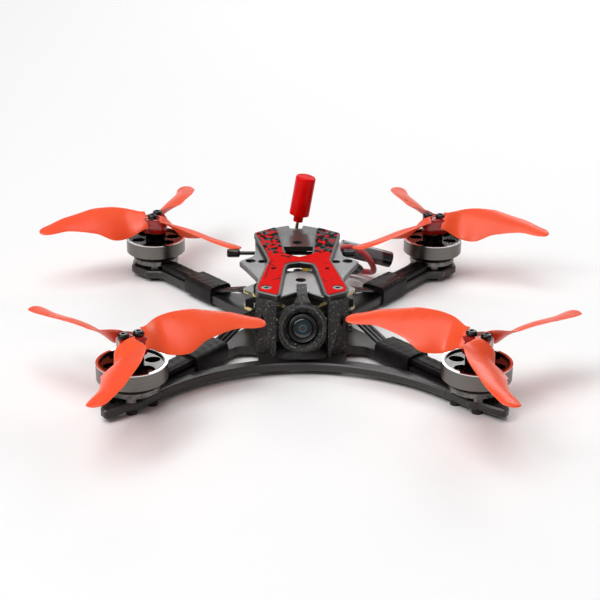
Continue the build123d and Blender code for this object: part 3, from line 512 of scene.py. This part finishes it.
def blade_rings(centre, angle, sense):
    """Sections of one blade from hub to rounded tip."""
    cap = BLADE_TIP - BLADE_ROUND_FROM
    plain_part = np.linspace(BLADE_ROOT, BLADE_ROUND_FROM, 40)
    tip_part = BLADE_ROUND_FROM + cap * np.sin(np.linspace(0.15, 1.0, 9) * math.pi / 2)
    out = np.concatenate([plain_part, tip_part])
    inside = np.clip(out, BLADE_R[0], BLADE_R[-1])
    stations = (BLADE_AHEAD, BLADE_CHORD, BLADE_PITCH, BLADE_HIGH)
    ahead, chord, pitch, high = (smooth_through(BLADE_R, v, inside) for v in stations)
    past = np.clip(out - BLADE_ROUND_FROM, 0, None) / (cap + 0.02)
    narrow = np.sqrt(np.clip(1 - past ** 2, 0.004, 1))
    er = np.array([math.cos(angle), math.sin(angle), 0])
    et = sense * np.array([-math.sin(angle), math.cos(angle), 0])
    rings = []
    for i, r in enumerate(out):
        p = math.radians(pitch[i])
        mid = np.array([*centre, 0]) + r * er + ahead[i] * et + np.array([0, 0, RIM_Z + high[i]])
        along = math.cos(p) * et + np.array([0, 0, math.sin(p)])
        across = -math.sin(p) * et + np.array([0, 0, math.cos(p)])
        thick = max(0.55, 0.05 * chord[i]) * (0.45 + 0.55 * narrow[i])
        ring = []
        for a in np.linspace(0, 2 * math.pi, 28, endpoint=False):
            s = math.cos(a)
            reach = s * chord[i] / 2 * narrow[i]
            camber = 0.07 * chord[i] * (1 - s * s) * narrow[i]
            ring.append(mid + along * reach + across * (camber + math.sin(a) * thick / 2))
        rings.append(ring)
    return rings


def union(base, tools):
    """base with the tools joined into one closed skin."""
    for tool in tools:
        mod = base.modifiers.new("join", "BOOLEAN")
        mod.operation, mod.solver, mod.object = "UNION", "EXACT", tool
    bpy.context.view_layer.update()
    joined = base.evaluated_get(bpy.context.evaluated_depsgraph_get())
    made = bpy.data.meshes.new_from_object(joined)
    base.modifiers.clear()
    base.data = made
    for tool in tools:
        bpy.data.objects.remove(tool)
    return base


def propeller(tag, sx, sy, degrees, sense):
    centre = (sx * WHEEL_X, sy * WHEEL_Y)
    start = math.radians(degrees)
    # triangular hub with rounded corners, its sides drawn in towards the top
    rings = []
    for above, scale in HUB_SIDES:
        ring = []
        for i in range(72):
            a = 2 * math.pi * i / 72
            r = scale * (4.85 + 0.65 * math.cos(3 * (a - start)))
            ring.append((centre[0] + r * math.cos(a), centre[1] + r * math.sin(a), HUB_Z + above))
        rings.append(ring)
    hub = bpy.data.objects.new("hub", grid_mesh("propeller", rings))
    hub.data.materials.append(PROP_HUB.m)
    hub.data.materials.append(PROP.m)
    bpy.context.scene.collection.objects.link(hub)
    blades = []
    for k in range(3):
        mesh = grid_mesh("blade", blade_rings(centre, start + k * 2 * math.pi / 3, sense))
        mesh.materials.append(PROP_HUB.m)
        mesh.materials.append(PROP.m)
        mesh.polygons.foreach_set("material_index", [1] * len(mesh.polygons))
        blade = bpy.data.objects.new("blade", mesh)
        bpy.context.scene.collection.objects.link(blade)
        blades.append(blade)
    obj = union(hub, blades)
    obj.name = f"propeller_{tag}_moulded"
    auto_smooth(obj, 48)
    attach(obj, f"rotor_{tag}")
    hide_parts(f"propeller_{tag}")


for motor in MOTORS:
    propeller(*motor)


# ------------------------------------------------------------------ wound copper
def windings(tag, sx, sy):
    """Turns of wire round each of the stator's teeth."""
    teeth, layers, wire, around, strands = 12, 6, 0.2, 20, 6
    ez = np.array([0, 0, 1])
    verts, faces = [], []
    for t in range(teeth):
        a = 2 * math.pi * t / teeth
        er = np.array([math.cos(a), math.sin(a), 0])
        et = np.array([-math.sin(a), math.cos(a), 0])
        for k in range(layers):
            r = 5.15 + k * 0.44
            width, tall = 0.75 + 0.012 * k, 1.5
            mid = np.array([sx * WHEEL_X, sy * WHEEL_Y, 10.3]) + r * er
            first = len(verts)
            for i in range(around):
                b = 2 * math.pi * i / around
                c, s = math.cos(b), math.sin(b)
                wide = abs(c) ** 0.55 * math.copysign(1, c) * width
                high = abs(s) ** 0.55 * math.copysign(1, s) * tall
                spot = mid + wide * et + high * ez
                out = c * et + s * ez
                for j in range(strands):
                    g = 2 * math.pi * j / strands
                    verts.append((spot + wire * (math.cos(g) * out + math.sin(g) * er)) * MM)
            for i in range(around):
                here, ahead = first + i * strands, first + (i + 1) % around * strands
                for j in range(strands):
                    k2 = (j + 1) % strands
                    faces.append((here + j, ahead + j, ahead + k2, here + k2))
    mesh = bpy.data.meshes.new("wire")
    mesh.from_pydata([tuple(v) for v in verts], [], faces)
    obj = link(f"windings_{tag}_wound", mesh, COPPER, "root")
    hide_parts(f"windings_{tag}")


for motor in MOTORS:
    windings(*motor[:3])


# ------------------------------------------------------------------ camera lens
PIVOT = np.array([0, -25.8, 12.8])
TILT = math.radians(22)
LENS_AXIS = (0, -math.cos(TILT), math.sin(TILT))
GLASS_R = 3.4
barrel = [
    (0.01, 3.2), (4.7, 3.2), (4.7, 8.7), (4.6, 9.1), (4.35, 9.2), (4.1, 9.1), (4.0, 8.75), (3.8, 8.7),
    (3.7, 8.35), (3.55, 8.3), (3.5, 7.9), (3.45, 7.8), (0.01, 7.8),
]
mesh = grid_mesh("barrel", lathe(barrel, PIVOT, LENS_AXIS, (1, 0, 0), 96))
lens = link("camera_lens_stepped", mesh, LENS_BLACK, "camera")
auto_smooth(lens, 30)
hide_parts("camera_lens")
dome = [(0.01, 7.8), (GLASS_R, 7.82)]
for a in np.linspace(math.pi / 2, 0.003, 24):
    dome.append((GLASS_R * math.sin(a), 7.9 + 0.75 * math.cos(a)))
mesh = grid_mesh("dome", lathe(dome, PIVOT, LENS_AXIS, (1, 0, 0), 96))
reach = mesh.attributes.new("reach", "FLOAT", "POINT")
axis = np.array(LENS_AXIS)
for i, v in enumerate(mesh.vertices):
    d = np.array(v.co) / MM - PIVOT
    reach.data[i].value = float(np.linalg.norm(d - (d @ axis) * axis) / GLASS_R)
glass = link("lens_glass_domed", mesh, LENS_COAT, "camera")
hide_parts("lens_glass")

# ------------------------------------------------------------------ arm sleeves
RAIL_A = np.array([47.7, 48.15])
ARM_DIR = np.array([22.8 - 44.0, 23.9 - 50.0])
ARM_DIR = ARM_DIR / np.linalg.norm(ARM_DIR)
WIRE_PITCH = 1.7
# where each sleeve starts and ends along the arm, half width, bottom, top, depth of its ridges
SLEEVES = (
    (-1.4, 19.0, 3.2, PLATE_TOP + 0.03, 7.25, 0.45),
    (15.6, 31.0, 4.98, 0.85, 8.0, 0.3),
)


def sleeve_rings(sx, sy, start, end, half, low, high, ridges):
    """Rings of a shrunk sleeve round an arm, with ridges over the wires and pinched mouths."""
    along = np.array([sx * ARM_DIR[0], sy * ARM_DIR[1], 0])
    side = np.array([-along[1], along[0], 0])
    origin = np.array([sx * RAIL_A[0], sy * RAIL_A[1], 0])
    n, k = 30, 56
    rings = []
    for i in range(n):
        t = start + (end - start) * i / (n - 1)
        edge = min(i, n - 1 - i) / 3.0
        pinch = 1.0 - 0.03 * math.exp(-edge * edge)
        ring = []
        for j in range(k):
            a = 2 * math.pi * j / k
            c, s = math.cos(a), math.sin(a)
            x = half * pinch * math.copysign(abs(c) ** 0.42, c)
            z = (high - low) / 2 * math.copysign(abs(s) ** 0.42, s)
            if s > 0.3:
                wave = (math.cos(2 * math.pi * x / WIRE_PITCH) - 1) / 2
                z += ridges * wave * math.exp(-((x / 3.0) ** 4))
            z += 0.05 * math.sin(1.9 * t + 5 * a) * (1 if s > 0 else 0)
            ring.append(origin + along * t + side * x + np.array([0, 0, (low + high) / 2 + z]))
        rings.append(ring)
    return rings


parts = []
for tag, sx, sy, _, _ in MOTORS:
    for sleeve in SLEEVES:
        obj = bpy.data.objects.new("sleeve", grid_mesh("sleeve", sleeve_rings(sx, sy, *sleeve)))
        bpy.context.scene.collection.objects.link(obj)
        parts.append(obj)
bm = bmesh.new()
for obj in parts:
    bm.from_mesh(obj.data)
mesh = bpy.data.meshes.new("sleeves")
bm.to_mesh(mesh)
bm.free()
for obj in parts:
    bpy.data.objects.remove(obj)
sleeves = link("wire_sleeves_shrunk", mesh, SLEEVE, "root")
auto_smooth(sleeves, 50)
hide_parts("wire_sleeves")

# ------------------------------------------------------------------ finishes of the CAD nodes
FINISH = {
    "frame_plate": CARBON, "top_deck": CARBON_DECK, "x_brace": CARBON_BRACE, "deck_sticker": STICKER,
    "camera_pod": PRINTED, "side_mount_left": PRINTED, "side_mount_right": PRINTED,
    "antenna_mount": PRINTED,
    "camera_body": CASE, "antenna_stem": BRASS, "antenna_cap": RED_CAP, "receiver_antenna": WIRE_BLACK,
    "motor_leads": WIRE_BLACK, "esc_board": BOARD, "control_board": BOARD, "board_components": CHIP,
    "standoffs": POST, "stack_nuts": POST,
    "m2_screws": BLACK_SCREW, "countersunk_screws": BLACK_SCREW,
    "capacitor": CAPACITOR, "battery_plug": PLUG, "motor_bearings": STEEL,
}
for motor in MOTORS:
    tag = motor[0]
    FINISH[f"motor_base_{tag}"] = BASE
    FINISH[f"stator_{tag}"] = STATOR
    FINISH[f"bell_{tag}"] = BELL_BLACK
    FINISH[f"flux_ring_{tag}"] = turned_band(*motor[:3])
    FINISH[f"shaft_{tag}"] = STEEL
    FINISH[f"prop_screws_{tag}"] = BLACK_SCREW
for name, mat in FINISH.items():
    obj = nodes[name]
    obj.data.materials.clear()
    obj.data.materials.append(mat.m)

# ------------------------------------------------------------------ floor and light
floor_mesh = bpy.data.meshes.new("floor")
floor_mesh.from_pydata([(-4, -4, 0), (4, -4, 0), (4, 4, 0), (-4, 4, 0)], [], [(0, 1, 2, 3)])
floor = bpy.data.objects.new("floor", floor_mesh)
bpy.context.scene.collection.objects.link(floor)
paper = Mat("floor_paper", (0.93, 0.93, 0.93), 0.6)
paper.color(paper.mix(paper.noise(3, 2), (0.92, 0.92, 0.92), (0.94, 0.94, 0.94)))
floor_mesh.materials.append(paper.m)


def area_light(name, place, size, power):
    data = bpy.data.lights.new(name, "AREA")
    data.shape, data.size, data.size_y, data.energy = "RECTANGLE", *size, power
    obj = bpy.data.objects.new(name, data)
    obj.location = place
    obj.rotation_euler = (-Vector(place)).to_track_quat("-Z", "Y").to_euler()
    bpy.context.scene.collection.objects.link(obj)


def sun_light(name, turn, strength, spread):
    data = bpy.data.lights.new(name, "SUN")
    data.energy, data.angle = strength, math.radians(spread)
    obj = bpy.data.objects.new(name, data)
    obj.rotation_euler = [math.radians(a) for a in turn]
    bpy.context.scene.collection.objects.link(obj)


sun_light("overhead", (8, -14, 0), 1.85, 55)
area_light("key", (-0.55, -0.35, 0.65), (0.30, 0.30), 2.2)
area_light("rim", (0.45, 0.75, 0.55), (0.45, 0.45), 1.8)
area_light("strip", (0.0, 1.20, 0.56), (0.60, 0.13), 1.1)
world = bpy.data.worlds.new("studio")
world.use_nodes = True
world.node_tree.nodes["Background"].inputs["Color"].default_value = (1, 1, 1, 1)
world.node_tree.nodes["Background"].inputs["Strength"].default_value = 0.21
bpy.context.scene.world = world
bpy.context.scene.view_settings.view_transform = "Standard"

bpy.context.view_layer.update()
